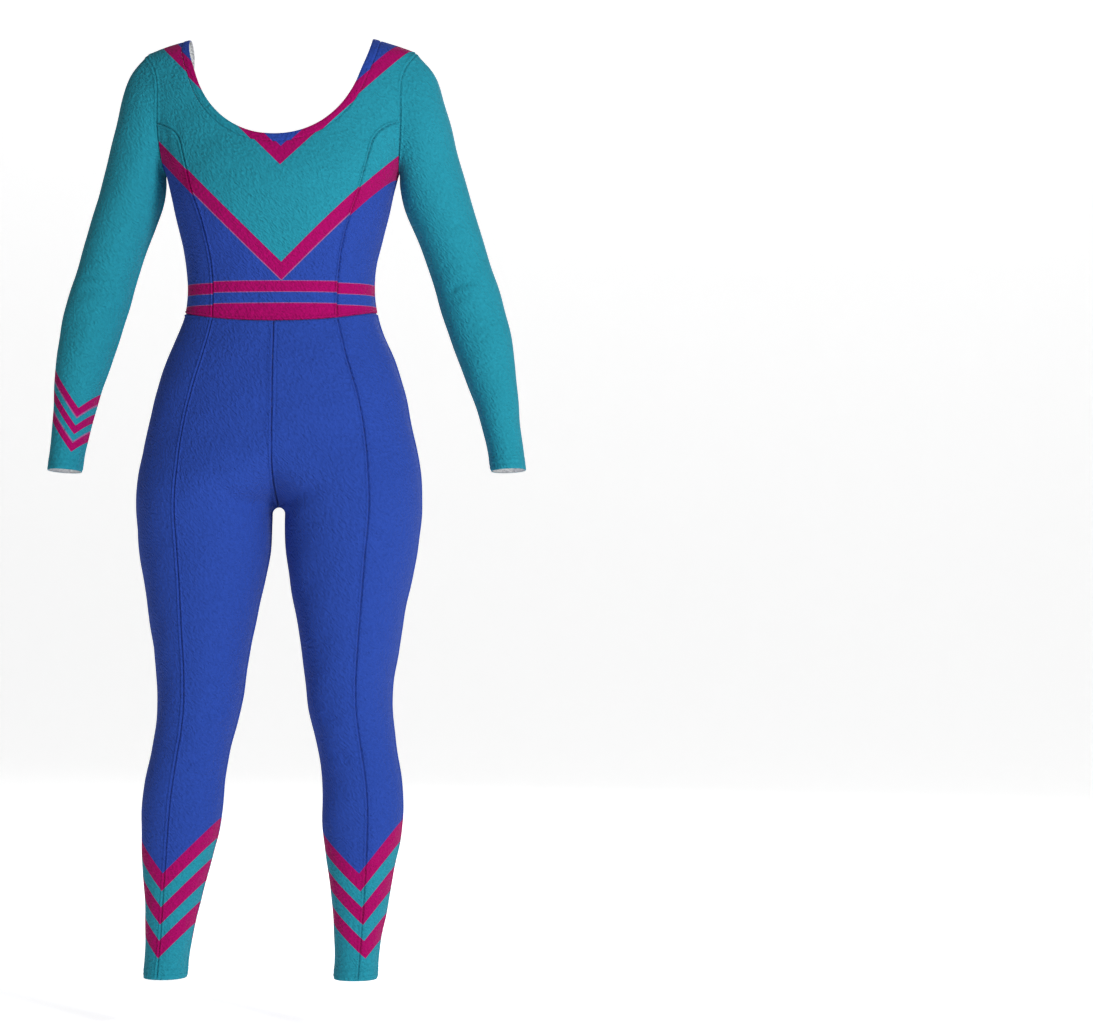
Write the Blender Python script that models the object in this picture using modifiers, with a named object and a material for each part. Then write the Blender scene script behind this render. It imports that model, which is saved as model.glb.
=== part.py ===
"""Long-sleeved, full-leg dance bodysuit in stretch knit, filled out as it is worn.

Metres, +Z up. The origin lies midway between the shoulders, level with the inner ends of the straps.
The front faces -Y and the wearer's left is +X. Each cut piece is an open grid of points on one smooth
body surface, given a wall by Solidify. The body surface is a function of an angle and a height: the
angle is 0 on the side line, positive in front and negative behind.
"""

import bpy
import numpy as np

COLLECTION = "dance_bodysuit"
WALL = 0.0011
SEAM_GAP = 0.0003
EDGE = SEAM_GAP / 2
ARMHOLE_TURN = 0.00020
LEG_TURN = 0.00018
WELD_DISTANCE = 0.00005
TIP_GAP = 0.0006

# Heights of the main levels
CROTCH_Z = -0.668
HEM_Z = -1.340
WAIST_SIDE_Z = -0.392
WAIST_FRONT_DROP = 0.014
WAIST_BACK_DROP = 0.008
WAIST_FADE = 0.080

# Crotch: the legs part over this height, under an arch of this radius
MERGE_HEIGHT = 0.110
ARCH_RADIUS = 0.010
ARCH_FADE = 0.060

# Fullness of the sections, as the power of a superellipse, which changes below this height
TORSO_POWER = 2.3
LEG_POWER = 2.1
POWER_CHANGE_Z = -0.55
POWER_CHANGE_HEIGHT = 0.15

# Neck opening, as two half superellipses that meet on the shoulders
NECK_SHOULDER_X = 0.131
NECK_BAND_WIDTH = 0.011
NECK_FRONT = {"half_width": 0.1245, "drop": 0.144, "power": 2.09}
NECK_BACK = {"half_width": 0.145, "drop": 0.205, "power": 2.12}
NECK_TURN_START = 1.2
NECK_TURN_RANGE = 0.37
SHOULDER_SLOPE_Z = -0.021

# Armhole, an ellipse in side view
ARMHOLE_Z = -0.105
ARMHOLE_HALF_HEIGHT = 0.084
ARMHOLE_HALF_DEPTH = 0.0515
PRINCESS_TOP_Z = -0.124

# The princess seam starts on the waist seam, bends at this height and curves up to the armhole
PRINCESS_START_Z = -0.4011
PRINCESS_BEND_Z = -0.158
PRINCESS_BEND_RISE = 0.028

# Sleeve: shares of its length where the armhole's shape fades, its points even out, and the cuff tilts
CAP_FADE = 0.16
CAP_RELAX = 0.5
CUFF_SHARE = 1 / 3
CUFF_TILT = 0.006

# Both sleeves swing a little to the suit's left below this height
SWING = 0.008
SWING_START_Z = -0.28
SWING_HEIGHT = 0.42

# Segments along each seam, and across each piece
CENTRE_FRONT_ROWS = 5
NECK_FRONT_ROWS = 10
PRINCESS_ROWS = 10
ARM_UPPER_ROWS = 5
ARM_LOWER_ROWS = 3
CENTRE_BACK_ROWS = 4
NECK_BACK_ROWS = 11
SIDE_ROWS = 7
ARM_BACK_ROWS = 8
FRONT_COLUMNS = 6
SIDE_COLUMNS = 5
BACK_COLUMNS = 10
SLEEVE_ROWS = 26
HIP_ROWS = 10
HIP_CROWDING = 1.6
LEG_ROWS = 17
LEG_CROWDING = 1.35
SHORT_STEP = 0.4
DENSE = 600
MIRROR = np.array([-1.0, 1.0, 1.0])


def table(names, rows):
    """The rows, sorted by their first column, as one array for each named column."""
    return dict(zip(names.split(), np.array(sorted(rows)).T))


BODY = table(
    "z half_width front back",
    [
        (0.000, 0.131, 0.028, 0.032),
        (-0.010, 0.163, 0.038, 0.044),
        (-0.021, 0.192, 0.048, 0.056),
        (-0.036, 0.205, 0.058, 0.066),
        (-0.060, 0.209, 0.070, 0.078),
        (-0.100, 0.204, 0.085, 0.090),
        (-0.140, 0.188, 0.098, 0.097),
        (-0.190, 0.167, 0.112, 0.098),
        (-0.236, 0.156, 0.112, 0.093),
        (-0.300, 0.140, 0.099, 0.081),
        (-0.358, 0.133, 0.089, 0.073),
        (-0.408, 0.141, 0.090, 0.078),
        (-0.450, 0.158, 0.096, 0.091),
        (-0.493, 0.174, 0.101, 0.105),
        (-0.536, 0.184, 0.104, 0.117),
        (-0.590, 0.196, 0.103, 0.124),
        (-0.640, 0.203, 0.099, 0.121),
        (-0.690, 0.203, 0.093, 0.108),
        (-0.740, 0.197, 0.089, 0.097),
        (-0.800, 0.186, 0.084, 0.088),
        (-0.858, 0.177, 0.078, 0.080),
        (-0.910, 0.1695, 0.072, 0.072),
        (-0.960, 0.168, 0.066, 0.065),
        (-1.010, 0.174, 0.061, 0.059),
        (-1.065, 0.184, 0.056, 0.062),
        (-1.120, 0.1863, 0.051, 0.065),
        (-1.180, 0.180, 0.045, 0.058),
        (-1.240, 0.1725, 0.039, 0.048),
        (-1.295, 0.1675, 0.036, 0.042),
        (-1.340, 0.167, 0.035, 0.040),
    ],
)
INNER_LEG = table(
    "z inner",
    [
        (-0.668, 0.0100),
        (-0.700, 0.0100),
        (-0.740, 0.0132),
        (-0.786, 0.0215),
        (-0.844, 0.0329),
        (-0.901, 0.0418),
        (-0.958, 0.0503),
        (-1.015, 0.0640),
        (-1.065, 0.0712),
        (-1.120, 0.0742),
        (-1.180, 0.0850),
        (-1.240, 0.0968),
        (-1.295, 0.1045),
        (-1.340, 0.1058),
    ],
)
MIDDLE = table(
    "z y",
    [
        (0.000, 0.010),
        (-0.130, 0.009),
        (-0.260, 0.003),
        (-0.365, 0.000),
        (-0.700, 0.000),
        (-1.340, 0.000),
    ],
)
SWAY = table(
    "z shift",
    [
        (0.000, 0.0000),
        (-0.214, 0.0010),
        (-0.365, 0.0000),
        (-0.600, -0.0020),
        (-0.843, -0.0070),
        (-0.958, -0.0093),
        (-1.060, -0.0112),
        (-1.187, -0.0184),
        (-1.301, -0.0272),
        (-1.340, -0.0305),
    ],
)
BODICE_PRINCESS = table(
    "z x",
    [
        (-0.402, 0.0883),
        (-0.350, 0.0886),
        (-0.297, 0.0958),
        (-0.260, 0.1057),
        (-0.226, 0.1170),
        (-0.189, 0.1270),
        (-0.158, 0.1345),
    ],
)
LEG_PRINCESS = table(
    "z x",
    [
        (-0.402, 0.0883),
        (-0.458, 0.1030),
        (-0.515, 0.1198),
        (-0.600, 0.1337),
        (-0.665, 0.1375),
        (-0.729, 0.1332),
        (-0.844, 0.1255),
        (-0.901, 0.1222),
        (-0.958, 0.1230),
        (-1.015, 0.1309),
        (-1.072, 0.1390),
        (-1.130, 0.1421),
        (-1.244, 0.1432),
        (-1.340, 0.1433),
    ],
)
SLEEVE = table(
    "row outer_x outer_z inner_x inner_z half_depth middle_y",
    [
        (0, 0.1920, -0.021, 0.1670, -0.189, 0.0515, 0.010),
        (1, 0.2180, -0.0515, 0.1687, -0.197, 0.0525, 0.011),
        (2, 0.2340, -0.097, 0.1690, -0.208, 0.0520, 0.013),
        (3, 0.2470, -0.150, 0.1712, -0.225, 0.0505, 0.016),
        (4, 0.2580, -0.193, 0.1775, -0.248, 0.0490, 0.019),
        (5, 0.2712, -0.236, 0.1905, -0.279, 0.0470, 0.022),
        (6, 0.2842, -0.279, 0.2030, -0.311, 0.0450, 0.026),
        (7, 0.2978, -0.322, 0.2142, -0.344, 0.0430, 0.028),
        (8, 0.3112, -0.365, 0.2240, -0.379, 0.0420, 0.028),
        (9, 0.3222, -0.408, 0.2370, -0.420, 0.0400, 0.026),
        (10, 0.3292, -0.450, 0.2525, -0.465, 0.0375, 0.023),
        (11, 0.3330, -0.495, 0.2683, -0.509, 0.0345, 0.020),
        (12, 0.3365, -0.550, 0.2842, -0.561, 0.0310, 0.017),
        (13, 0.3440, -0.615, 0.2950, -0.6175, 0.0290, 0.015),
    ],
)

BLUE = (48, 82, 184)
TEAL = (44, 160, 184)
ROUGHNESS = 0.8


def spline(at, known, values):
    """Natural cubic spline through the known values: its curvature is zero at both ends."""
    count = len(known)
    step = np.diff(known)
    slope = np.diff(values) / step
    system = np.eye(count)
    right = np.zeros(count)
    for i in range(1, count - 1):
        system[i, i - 1 : i + 2] = step[i - 1], 2 * (step[i - 1] + step[i]), step[i]
        right[i] = 6 * (slope[i] - slope[i - 1])
    bend = np.linalg.solve(system, right)
    i = np.clip(np.searchsorted(known, at) - 1, 0, count - 2)
    left = at - known[i]
    rest = known[i + 1] - at
    return (
        (bend[i] * rest**3 + bend[i + 1] * left**3) / (6 * step[i])
        + (values[i] / step[i] - bend[i] * step[i] / 6) * rest
        + (values[i + 1] / step[i] - bend[i + 1] * step[i] / 6) * left
    )


def column(source, name, at):
    """A named column of a table at the given values of its first column."""
    return spline(at, next(iter(source.values())), source[name])


def ease(x):
    """0 up to x = 0, 1 from x = 1, and a smooth rise between them."""
    x = np.clip(x, 0, 1)
    return x * x * (3 - 2 * x)


def signed_power(x, power):
    return np.sign(x) * np.abs(x) ** power


def section(z):
    """What describes half of the level section at each height, by name."""
    power = TORSO_POWER + (LEG_POWER - TORSO_POWER) * ease((POWER_CHANGE_Z - z) / POWER_CHANGE_HEIGHT)
    above = z >= CROTCH_Z
    radius = ARCH_RADIUS * (1 - ease((z - CROTCH_Z) / ARCH_FADE))
    lift = np.where(above, radius, np.clip(ARCH_RADIUS - (CROTCH_Z - z), 0, None))
    join = ease(1 - (z - CROTCH_Z) / MERGE_HEIGHT)
    outer = np.hypot(column(BODY, "half_width", z), lift) - radius
    inner = column(INNER_LEG, "inner", np.minimum(z, CROTCH_Z)) - ARCH_RADIUS
    half = np.where(above, outer / (1 + join), (outer - inner) / 2)
    return {
        "power": power,
        "radius": radius,
        "lift": lift,
        "half": half,
        "centre": np.where(above, join * half, (outer + inner) / 2),
        "last_angle": np.arccos(-(join ** (power / 2))),
        "front": column(BODY, "front", z),
        "back": column(BODY, "back", z),
        "middle": column(MIDDLE, "y", z),
    }


def body(angle, z):
    """Points of the left half: a superellipse round each leg or half torso, cut where the halves meet."""
    s = section(z)
    across = s["centre"] + s["half"] * signed_power(np.cos(angle), 2 / s["power"])
    x = np.sqrt(np.clip((across + s["radius"]) ** 2 - s["lift"] ** 2, 0, None))
    depth = np.where(angle > 0, s["front"], s["back"])
    y = s["middle"] - depth * signed_power(np.sin(angle), 2 / s["power"])
    return np.stack([x, y, z + 0 * x], axis=-1)


def angle_at(x, z):
    """The positive angle at which the body surface has this x."""
    s = section(z)
    across = np.hypot(x, s["lift"]) - s["radius"] - s["centre"]
    return np.arccos(np.clip(signed_power(across / s["half"], s["power"] / 2), -1, 1))


def angle_at_depth(y_offset, depth, z):
    """The positive angle at which the torso lies this far before or behind its middle."""
    share = np.clip(y_offset / depth, 0, 1)
    return np.arcsin(share ** (section(z)["power"] / 2))


def waist_z(angle):
    drop = np.where(angle > 0, WAIST_FRONT_DROP, WAIST_BACK_DROP)
    return WAIST_SIDE_Z - drop * np.sin(angle) ** 2


def height_of_width(x):
    """The height on the sloping shoulder at which the body is this wide."""
    z = np.linspace(SHOULDER_SLOPE_Z, 0.0, DENSE)
    return np.interp(-x, -column(BODY, "half_width", z), z)


def neck_line(shape, beyond):
    """Angles and heights from the centre line to the shoulder, at a distance beyond the neck's edge."""
    turn = 0.5 * np.pi * (1 - np.linspace(1, 0, DENSE) ** 2)
    widest = NECK_SHOULDER_X + beyond
    to_shoulder = ease((turn - NECK_TURN_START) / NECK_TURN_RANGE)
    width = shape["half_width"] + beyond + (widest - shape["half_width"] - beyond) * to_shoulder
    top = height_of_width(widest)
    bottom = -shape["drop"] - beyond
    x = width * np.sin(turn) ** (2 / shape["power"])
    z = top + (bottom - top) * np.cos(turn) ** (2 / shape["power"])
    z[-1] = top
    angle = angle_at(np.minimum(x, column(BODY, "half_width", z)), z)
    angle[0] = 0.5 * np.pi
    angle[-1] = 0.0
    return angle, z


def armhole_line(start, end, side):
    """Angles and heights on the armhole from one turn to another: 0 is the shoulder, pi the underarm."""
    turn = np.linspace(start, end, DENSE)
    z = ARMHOLE_Z + ARMHOLE_HALF_HEIGHT * np.cos(turn)
    depth = column(BODY, side, z)
    return angle_at_depth(ARMHOLE_HALF_DEPTH * np.sin(turn), depth, z), z


def princess_line():
    """Angles and heights of the bodice princess seam, from the waist to the armhole."""
    straight = np.linspace(PRINCESS_START_Z, PRINCESS_BEND_Z, DENSE)
    low = angle_at(column(BODICE_PRINCESS, "x", straight), straight)
    corner = princess_turn()
    top_angle, top_z = armhole_line(corner, corner, "front")
    bow = np.linspace(0, 1, DENSE // 4)[1:]
    end = np.array([top_angle[0], top_z[0]])
    start = np.array([low[-1], straight[-1]])
    direction = start - np.array([low[-2], straight[-2]])
    knee = start + direction * PRINCESS_BEND_RISE / direction[1]
    weights = (1 - bow) ** 2, 2 * bow * (1 - bow), bow**2
    curve = sum(w[:, None] * point for w, point in zip(weights, (start, knee, end)))
    angle = np.concatenate([low, curve[:, 0]])
    z = np.concatenate([straight, curve[:, 1]])
    z[0] = waist_z(angle[0])
    return angle, z


def princess_turn():
    """The armhole's turn at which the princess seam meets it."""
    return np.arccos((PRINCESS_TOP_Z - ARMHOLE_Z) / ARMHOLE_HALF_HEIGHT)


def steps(count, short_first=False, short_last=False):
    """Fractions of a seam's length at its points, with a short step where it meets a shoulder."""
    sizes = np.ones(count)
    sizes[0] = SHORT_STEP if short_first else 1.0
    sizes[-1] = SHORT_STEP if short_last else 1.0
    return np.concatenate([[0.0], np.cumsum(sizes)]) / sizes.sum()


def along(line, fractions, side=1):
    """Angles and heights at fractions of a line's length on the body surface."""
    angle, z = line
    points = body(side * angle, z)
    lengths = np.linalg.norm(np.diff(points, axis=0), axis=1)
    run = np.concatenate([[0.0], np.cumsum(lengths)])
    at = fractions * run[-1]
    return np.stack([side * np.interp(at, run, angle), np.interp(at, run, z)], axis=-1)


def joined(*lines):
    """Lines end to end, each shared point once."""
    return np.concatenate([lines[0]] + [line[1:] for line in lines[1:]])


def upright(angle, low, high, count):
    """Points from one height to another at one angle."""
    z = low + (high - low) * steps(count)
    return np.stack([np.full(count + 1, angle), z], axis=-1)


def between(inner, outer, columns):
    """A grid of angles and heights, straight from an inner line to an outer one along each row."""
    share = (np.arange(columns + 1) / columns)[None, :, None]
    return inner[:, None] * (1 - share) + outer[:, None] * share


def fit_waist(grid, row):
    """Bends the row at the waist to the waist seam, and the rows near it less and less."""
    angle = grid[..., 0]
    away = np.abs(grid[row, :, 1][None, :] - grid[..., 1])
    miss = waist_z(angle[row]) - grid[row, :, 1]
    grid[..., 1] += miss[None, :] * (1 - ease(away / WAIST_FADE))
    return grid


def front_centre_half():
    corner = princess_turn()
    inner = joined(
        upright(0.5 * np.pi, waist_z(0.5 * np.pi), -NECK_FRONT["drop"] - NECK_BAND_WIDTH, CENTRE_FRONT_ROWS),
        along(neck_line(NECK_FRONT, NECK_BAND_WIDTH), steps(NECK_FRONT_ROWS, short_last=True)),
    )
    outer = joined(
        along(princess_line(), steps(PRINCESS_ROWS)),
        along(armhole_line(corner, 0.0, "front"), steps(ARM_UPPER_ROWS, short_last=True)),
    )
    return fit_waist(between(inner, outer, FRONT_COLUMNS), 0)


def front_side_half():
    corner = princess_turn()
    underarm = ARMHOLE_Z - ARMHOLE_HALF_HEIGHT
    outer = joined(
        upright(0.0, WAIST_SIDE_Z, underarm, SIDE_ROWS),
        along(armhole_line(np.pi, corner, "front"), steps(ARM_LOWER_ROWS)),
    )
    return fit_waist(between(along(princess_line(), steps(PRINCESS_ROWS)), outer, SIDE_COLUMNS), 0)


def back_half():
    underarm = ARMHOLE_Z - ARMHOLE_HALF_HEIGHT
    centre = -0.5 * np.pi
    inner = joined(
        upright(centre, waist_z(centre), -NECK_BACK["drop"] - NECK_BAND_WIDTH, CENTRE_BACK_ROWS),
        along(neck_line(NECK_BACK, NECK_BAND_WIDTH), steps(NECK_BACK_ROWS, short_last=True), -1),
    )
    outer = joined(
        upright(0.0, WAIST_SIDE_Z, underarm, SIDE_ROWS),
        along(armhole_line(np.pi, 0.0, "back"), steps(ARM_BACK_ROWS, short_last=True), -1),
    )
    return fit_waist(between(inner, outer, BACK_COLUMNS), 0)


def leg_heights():
    """Heights of the leg rows: close together where the legs part, even from there down."""
    above = CROTCH_Z + (WAIST_SIDE_Z - CROTCH_Z) * (1 - steps(HIP_ROWS)) ** HIP_CROWDING
    below = CROTCH_Z + (HEM_Z - CROTCH_Z) * steps(LEG_ROWS) ** LEG_CROWDING
    return np.concatenate([above, below[1:]])


def leg_half(inner_name, outer_name, columns):
    """Angles and heights between two lines down the leg."""
    z = leg_heights()
    lines = {
        "front_centre": section(z)["last_angle"],
        "princess": angle_at(column(LEG_PRINCESS, "x", z), z),
        "side": 0 * z,
        "back_centre": -section(z)["last_angle"],
    }
    inner = np.stack([lines[inner_name], z], axis=-1)
    outer = np.stack([lines[outer_name], z], axis=-1)
    grid = between(inner, outer, columns)
    if "princess" in (inner_name, outer_name):
        top = along(princess_line(), np.array([0.0]))[0, 0]
        edge = -1 if outer_name == "princess" else 0
        share = np.abs(np.arange(columns + 1) / columns - (0 if edge else 1))
        grid[0, :, 0] += (top - grid[0, edge, 0]) * share
    return fit_waist(grid, 0)


def armhole_ring():
    """The left armhole as points round it, from the shoulder down the front, up the back."""
    corner = princess_turn()
    front = joined(
        along(armhole_line(corner, 0.0, "front"), steps(ARM_UPPER_ROWS, short_last=True))[::-1],
        along(armhole_line(np.pi, corner, "front"), steps(ARM_LOWER_ROWS))[::-1],
    )
    back = along(armhole_line(np.pi, 0.0, "back"), steps(ARM_BACK_ROWS, short_last=True), -1)
    ring = joined(front, back)[:-1]
    return body(ring[:, 0], ring[:, 1]), ring


def sleeve_points():
    """Rings from the armhole to the cuff: ellipses through the outer and inner lines, and what the
    armhole departs from the first of them fades out down the cap."""
    hole, ring = armhole_ring()
    row = np.linspace(0, SLEEVE["row"][-1], SLEEVE_ROWS + 1)[:, None]
    outer = np.stack([column(SLEEVE, "outer_x", row), column(SLEEVE, "outer_z", row)], axis=-1)
    inner = np.stack([column(SLEEVE, "inner_x", row), column(SLEEVE, "inner_z", row)], axis=-1)
    cosine = (ring[:, 1] - ARMHOLE_Z) / ARMHOLE_HALF_HEIGHT
    turn = np.arccos(np.clip(cosine, -1, 1)) * np.where(hole[:, 1] <= hole[0, 1], 1, -1) % (2 * np.pi)
    even = np.linspace(0, 2 * np.pi, len(turn), endpoint=False)
    relax = ease(row / (SLEEVE["row"][-1] * CAP_RELAX))
    turn = turn * (1 - relax) + even * relax
    across = np.cos(turn)[..., None] * (outer - inner) / 2 + (outer + inner) / 2
    y = column(SLEEVE, "middle_y", row) - column(SLEEVE, "half_depth", row) * np.sin(turn)
    points = np.stack([across[..., 0], y, across[..., 1]], axis=-1)
    fade = 1 - ease(row / (SLEEVE["row"][-1] * CAP_FADE))
    points += (hole - points[0]) * fade[..., None]
    tilt = ease(row / (SLEEVE["row"][-1] * CUFF_SHARE) + 1 - 1 / CUFF_SHARE)
    points[..., 2] += CUFF_TILT / 2 * tilt * np.sin(turn)
    return points


def neck_band_points():
    """The band from its seam to the neck's edge: down the left front, round to the right, and back."""
    rings = []
    for beyond in (NECK_BAND_WIDTH, 0.0):
        front = along(neck_line(NECK_FRONT, beyond), steps(NECK_FRONT_ROWS, short_last=True))
        back = along(neck_line(NECK_BACK, beyond), steps(NECK_BACK_ROWS, short_last=True), -1)
        half = body(*joined(front, back[::-1]).T)
        rings.append(np.concatenate([half, half[-2:0:-1] * MIRROR]))
    return np.stack(rings)


def pulled(points, edges):
    """Moves each named edge of a grid into the piece by its distance."""
    points = points.copy()
    first = {"top": np.s_[-1], "bottom": np.s_[0], "inner": np.s_[:, 0], "outer": np.s_[:, -1]}
    second = {"top": np.s_[-2], "bottom": np.s_[1], "inner": np.s_[:, 1], "outer": np.s_[:, -2]}
    for edge, distance in edges.items():
        inward = points[second[edge]] - points[first[edge]]
        size = np.linalg.norm(inward, axis=-1, keepdims=True)
        points[first[edge]] += inward * distance / np.maximum(size, 1e-6)
    return points


def lowered_tip(points):
    """The side front ends in a point under the armhole, a little clear of both of its seams."""
    points = points.copy()
    down = points[-2].mean(axis=0) - points[-1].mean(axis=0)
    points[-1] += down * TIP_GAP / np.linalg.norm(down)
    return points


def swayed(points, swing=0.0):
    """The whole suit leans a little to its right on the way down, and the sleeves swing to its left."""
    out = points.copy()
    out[..., 0] += column(SWAY, "shift", np.clip(points[..., 2], HEM_Z, 0.0))
    out[..., 0] += swing * ease((SWING_START_Z - points[..., 2]) / SWING_HEIGHT)
    return out


def linear(channel):
    """Linear light from an 8-bit screen value."""
    c = channel / 255
    return c / 12.92 if c <= 0.04045 else ((c + 0.055) / 1.055) ** 2.4


def knit(name, colour):
    material = bpy.data.materials.new(name + "_knit")
    material.use_nodes = True
    shader = material.node_tree.nodes["Principled BSDF"]
    shader.inputs["Base Color"].default_value = (*(linear(c) for c in colour), 1.0)
    shader.inputs["Roughness"].default_value = ROUGHNESS
    shader.inputs["Metallic"].default_value = 0.0
    return material


def add_piece(collection, name, grids, colour, closed_round=False, swing=0.0):
    """A named object from grids of points and whether each turns over, with its wall inside them."""
    corners, quads, first = [], [], 0
    for points, turns_over in grids:
        rows, columns = points.shape[:2]
        index = first + np.arange(rows * columns).reshape(rows, columns)
        if closed_round:
            index = np.concatenate([index, index[:, :1]], axis=1)
        faces = np.stack([index[:-1, :-1], index[:-1, 1:], index[1:, 1:], index[1:, :-1]], axis=-1)
        faces = faces.reshape(-1, 4)
        quads.append(faces[:, ::-1] if turns_over else faces)
        corners.append(swayed(points, swing).reshape(-1, 3))
        first += rows * columns
    mesh = bpy.data.meshes.new(name)
    mesh.from_pydata(np.concatenate(corners).tolist(), [], np.concatenate(quads).tolist())
    mesh.materials.append(knit(name, colour))
    mesh.shade_smooth()
    piece = bpy.data.objects.new(name, mesh)
    collection.objects.link(piece)
    weld = piece.modifiers.new("Weld", "WELD")
    weld.merge_threshold = WELD_DISTANCE
    wall = piece.modifiers.new("Wall", "SOLIDIFY")
    wall.thickness = WALL
    wall.offset = -1.0


def surface(grid):
    return body(grid[..., 0], grid[..., 1])


def add_front_centre(collection):
    """Both halves are one piece below the neck, and part into two straps above it."""
    left = pulled(surface(front_centre_half()), dict.fromkeys(("bottom", "top", "outer", "inner"), EDGE))
    left[: CENTRE_FRONT_ROWS + 1, 0, 0] = 0.0
    add_piece(collection, "front_centre", [(left, False), (left * MIRROR, True)], TEAL)


def add_pair(collection, name, points, colour, turns_over=False, **options):
    """The left piece and its mirror image."""
    add_piece(collection, name + "_left", [(points, turns_over)], colour, **options)
    add_piece(collection, name + "_right", [(points * MIRROR, not turns_over)], colour, **options)


def add_bodice_sides(collection):
    side = pulled(lowered_tip(surface(front_side_half())), dict.fromkeys(("bottom", "inner", "outer"), EDGE))
    back = pulled(surface(back_half()), dict.fromkeys(("bottom", "top", "outer", "inner"), EDGE))
    add_pair(collection, "front_side", side, BLUE)
    add_pair(collection, "back", back, TEAL, turns_over=True)


def add_legs(collection):
    """Rows run down from the waist, so the front pieces turn over and the back ones do not."""
    pulls = {"bottom": EDGE, "inner": EDGE + LEG_TURN, "outer": EDGE + LEG_TURN}
    for name, inner, outer, columns in (
        ("leg_front", "front_centre", "princess", FRONT_COLUMNS),
        ("leg_side", "princess", "side", SIDE_COLUMNS),
        ("leg_back", "back_centre", "side", BACK_COLUMNS),
    ):
        points = pulled(surface(leg_half(inner, outer, columns)), pulls)
        add_pair(collection, name, points, BLUE, turns_over=name != "leg_back")


def main():
    for old in list(bpy.data.objects):
        bpy.data.objects.remove(old, do_unlink=True)
    collection = bpy.data.collections.new(COLLECTION)
    bpy.context.scene.collection.children.link(collection)
    add_front_centre(collection)
    add_bodice_sides(collection)
    add_legs(collection)
    sleeve = pulled(sleeve_points(), {"bottom": EDGE + ARMHOLE_TURN})
    add_pair(collection, "sleeve", sleeve, TEAL, closed_round=True, swing=SWING)
    band = pulled(neck_band_points(), {"bottom": EDGE})
    add_piece(collection, "neck_band", [(band, False)], TEAL, closed_round=True)


main()
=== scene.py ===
"""Looks of a long-sleeved dance bodysuit in stretch knit, filled out as it is worn.

Each cut piece is one smooth surface: a function of an angle round the body and a height. The surface
gets its seams, hems and creases as relief along its own normals, then a thin wall. The front faces -Y
and the wearer's left is +X. All sizes are in metres.
"""

import bpy
import numpy as np
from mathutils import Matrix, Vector


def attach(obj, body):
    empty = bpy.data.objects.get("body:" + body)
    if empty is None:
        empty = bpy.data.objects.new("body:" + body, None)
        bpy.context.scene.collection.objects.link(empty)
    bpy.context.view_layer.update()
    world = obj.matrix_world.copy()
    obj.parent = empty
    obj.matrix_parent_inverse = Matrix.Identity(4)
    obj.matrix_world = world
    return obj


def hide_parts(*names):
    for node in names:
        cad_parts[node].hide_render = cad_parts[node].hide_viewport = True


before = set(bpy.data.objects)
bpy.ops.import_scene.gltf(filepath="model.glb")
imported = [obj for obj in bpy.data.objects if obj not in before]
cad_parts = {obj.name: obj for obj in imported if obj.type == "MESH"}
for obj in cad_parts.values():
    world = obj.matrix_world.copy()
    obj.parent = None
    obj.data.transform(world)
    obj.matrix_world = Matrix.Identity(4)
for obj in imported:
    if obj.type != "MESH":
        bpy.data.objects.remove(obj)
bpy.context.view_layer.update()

# Thickness of the cloth, and how close two points are made one
WALL = 0.0010
WELD_DISTANCE = 0.00002

# Heights of the main levels
CROTCH_Z = -0.668
HEM_Z = -1.340
WAIST_SIDE_Z = -0.392
WAIST_FRONT_DROP = 0.014
WAIST_BACK_DROP = 0.008
WAIST_FADE = 0.080

# Crotch: the legs part over this height, under an arch of this radius
MERGE_HEIGHT = 0.110
ARCH_RADIUS = 0.010
ARCH_FADE = 0.060

# Fullness of the sections, as the power of a superellipse, which changes below this height
TORSO_POWER = 2.3
LEG_POWER = 2.1
POWER_CHANGE_Z = -0.55
POWER_CHANGE_HEIGHT = 0.15

# Neck opening, as two half superellipses that meet on the shoulders
NECK_SHOULDER_X = 0.131
NECK_BAND_WIDTH = 0.011
NECK_FRONT = {"half_width": 0.1245, "drop": 0.144, "power": 2.09}
NECK_BACK = {"half_width": 0.145, "drop": 0.205, "power": 2.12}
NECK_TURN_START = 1.2
NECK_TURN_RANGE = 0.37
SHOULDER_SLOPE_Z = -0.021

# Armhole, an ellipse in side view
ARMHOLE_Z = -0.105
ARMHOLE_HALF_HEIGHT = 0.084
ARMHOLE_HALF_DEPTH = 0.0515
PRINCESS_TOP_Z = -0.124

# The princess seam starts on the waist seam, bends at this height and curves up to the armhole
PRINCESS_START_Z = -0.4011
PRINCESS_BEND_Z = -0.158
PRINCESS_BEND_RISE = 0.028

# Sleeve: shares of its length where the armhole's shape fades, its points even out, and the cuff tilts
CAP_FADE = 0.16
CAP_RELAX = 0.5
CUFF_SHARE = 1 / 3
CUFF_TILT = 0.006

# Both sleeves swing a little to the suit's left below this height
SWING = 0.008
SWING_START_Z = -0.28
SWING_HEIGHT = 0.42

# Rows and columns of the grids
CENTRE_FRONT_ROWS = 5
NECK_FRONT_ROWS = 10
PRINCESS_ROWS = 10
ARM_UPPER_ROWS = 5
ARM_LOWER_ROWS = 3
CENTRE_BACK_ROWS = 4
NECK_BACK_ROWS = 11
SIDE_ROWS = 7
ARM_BACK_ROWS = 8
SHORT_STEP = 0.4
DENSE = 900
MIRROR = np.array([-1.0, 1.0, 1.0])
ROWS_A_STEP = 8
COLUMNS_A_STEP = 6
NEAR = 1e-6

# How far the lines beside a seam lie from it, and the distance between the others
BORDER = np.array([0.0, 0.0006, 0.0013, 0.0022, 0.0032, 0.0043, 0.0056, 0.0075])
NARROWEST = 2.3 * BORDER[-1]
SPACING = 0.0038
LEG_SPACING = 0.0046
BAND_LINES = np.array([0.0, 0.0006, 0.0014, 0.0024, 0.0040, 0.0058, 0.0076, 0.0090, 0.0100, 0.0106, 0.0110])

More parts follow.
